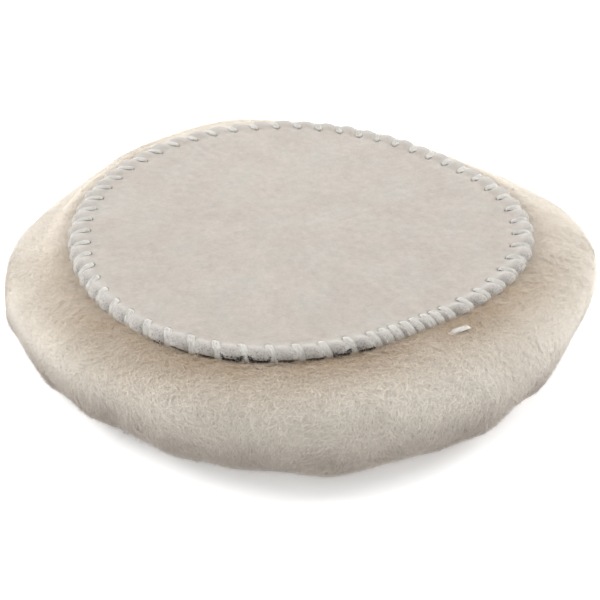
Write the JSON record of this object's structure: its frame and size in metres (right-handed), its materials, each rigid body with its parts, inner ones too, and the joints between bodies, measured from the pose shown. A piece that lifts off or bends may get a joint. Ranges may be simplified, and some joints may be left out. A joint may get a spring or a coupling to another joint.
{
  "type": "polishing pad",
  "caption": "Round lambswool polishing pad with a whip-stitched loop-fabric back for a hook-faced backing plate, wool flaring past the sewn rim.",
  "frame": {"origin": "centre of the loop face, where the backing plate seats", "axes": "+Z out of the loop face, towards the polisher; the wool's working face looks along -Z"},
  "size_m": [0.1953, 0.1989, 0.0327],
  "materials": {
    "loop_fabric": "brushed loop fabric, off-white, matt",
    "foam": "thin black foam, matt",
    "hide": "tanned skin, undyed",
    "wool": "dense cream lambswool",
    "thread": "flat multifilament thread, white, slight sheen"
  },
  "bodies": {
    "root": {"loop_fabric": "loop_fabric", "foam_interlayer": "foam", "hide": "hide", "wool_pile": "wool", "whip_stitch_thread": "thread"}
  },
  "joints": []
}
